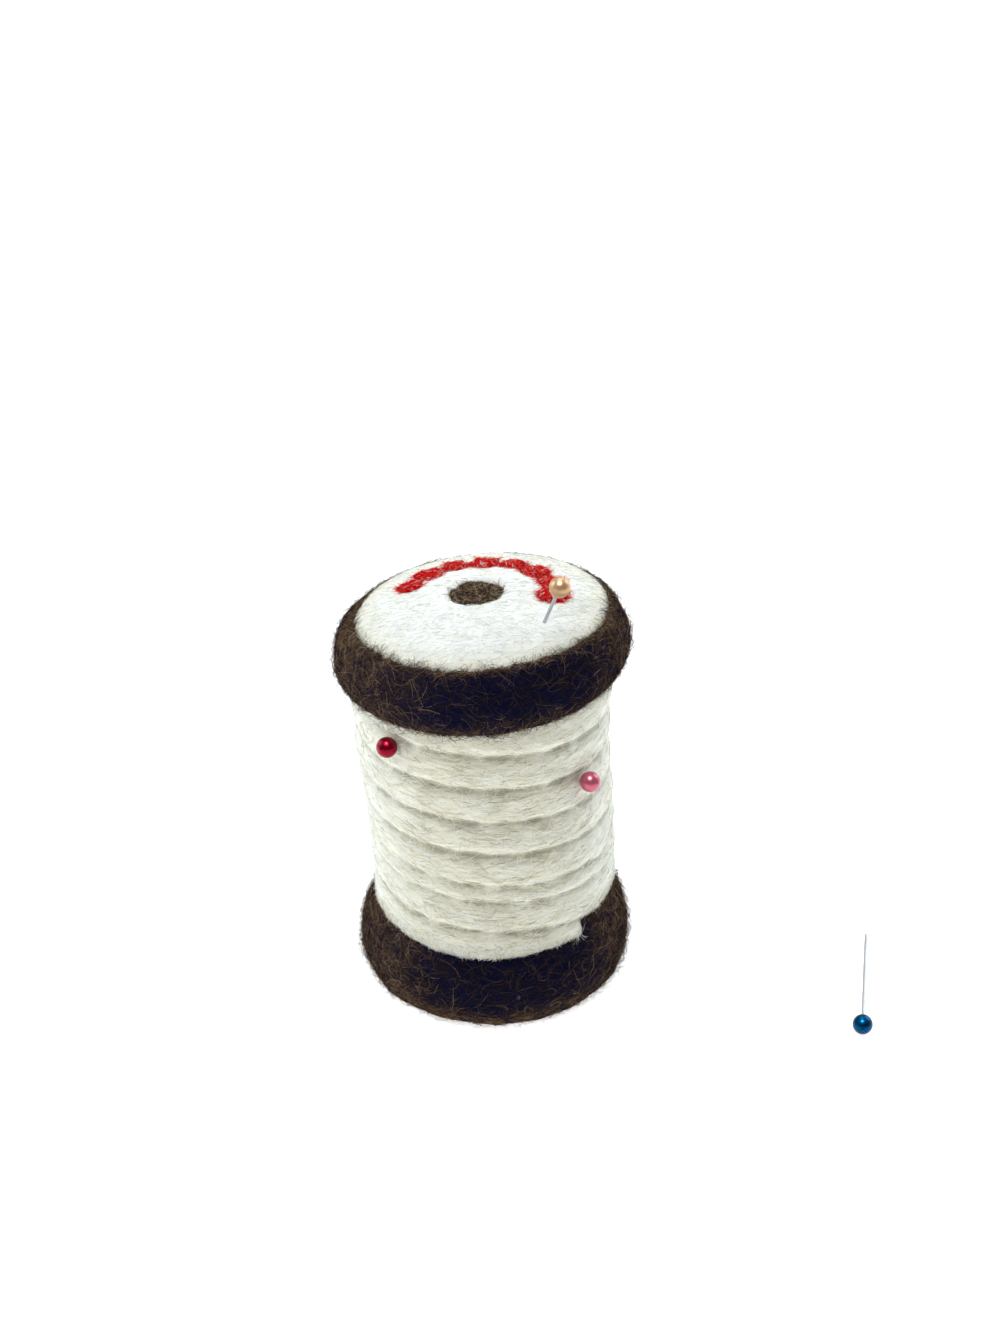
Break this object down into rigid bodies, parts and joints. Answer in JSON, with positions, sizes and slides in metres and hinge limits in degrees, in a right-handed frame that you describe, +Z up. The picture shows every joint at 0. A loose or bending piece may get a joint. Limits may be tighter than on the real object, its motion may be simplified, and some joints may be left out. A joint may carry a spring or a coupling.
{
  "type": "spool pincushion with pins",
  "caption": "Needle-felted wool pincushion in the shape of a wound thread spool, with a crowned top that takes dressmaker's pins; pearl-headed pins slide in and out of the wool.",
  "frame": {"origin": "middle of the flat face that the spool stands on", "axes": "+Z up, out of the rest face through the top; -Y is the front that the picture shows, and +X is its right"},
  "size_m": [0.1091, 0.0578, 0.0919],
  "materials": {
    "white_wool": "needled white wool, matt, with fine loose fibres",
    "cream_wool": "needled cream roving, matt, speckled",
    "brown_wool": "needled dark brown wool, matt, with lighter curled fibres",
    "patch_wool": "needled olive-brown wool, matt",
    "red_wool": "needled red wool, matt",
    "pin_steel": "bright drawn wire",
    "peach_pearl": "pearl lacquer, peach",
    "red_pearl": "pearl lacquer, deep red",
    "pink_pearl": "pearl lacquer, pink",
    "blue_pearl": "pearl lacquer, blue"
  },
  "bodies": {
    "spool": {"bottom_flange": "brown_wool", "wool_core": "cream_wool", "wound_roving": "cream_wool", "top_flange": "brown_wool", "top_cushion": "white_wool", "spool_hole_patch": "patch_wool", "red_dab_1": "red_wool", "red_dab_2": "red_wool", "red_dab_3": "red_wool", "red_dab_4": "red_wool", "red_dab_5": "red_wool", "red_dab_6": "red_wool", "red_dab_7": "red_wool", "red_dab_8": "red_wool"},
    "peach_pin": {"peach_pin_head": "peach_pearl", "peach_pin_shaft": "pin_steel"},
    "red_pin": {"red_pin_head": "red_pearl", "red_pin_shaft": "pin_steel"},
    "pink_pin": {"pink_pin_head": "pink_pearl", "pink_pin_shaft": "pin_steel"},
    "blue_pin": {"blue_pin_head": "blue_pearl", "blue_pin_shaft": "pin_steel"}
  },
  "joints": [
    {"name": "peach_pin_slide", "type": "slide", "parent": "spool", "child": "peach_pin", "axis": [0.3584, 0, 0.9336], "range_m": [-0.0055, 0.028]},
    {"name": "red_pin_slide", "type": "slide", "parent": "spool", "child": "red_pin", "axis": [-0.6327, -0.746, 0.2079], "range_m": [0, 0.034]},
    {"name": "pink_pin_slide", "type": "slide", "parent": "spool", "child": "pink_pin", "axis": [0.7427, -0.6366, 0.2079], "range_m": [0, 0.034]},
    {"name": "blue_pin_lift", "type": "slide", "parent": "spool", "child": "blue_pin", "axis": [0, 0, 1], "range_m": [0, 0.05]}
  ]
}
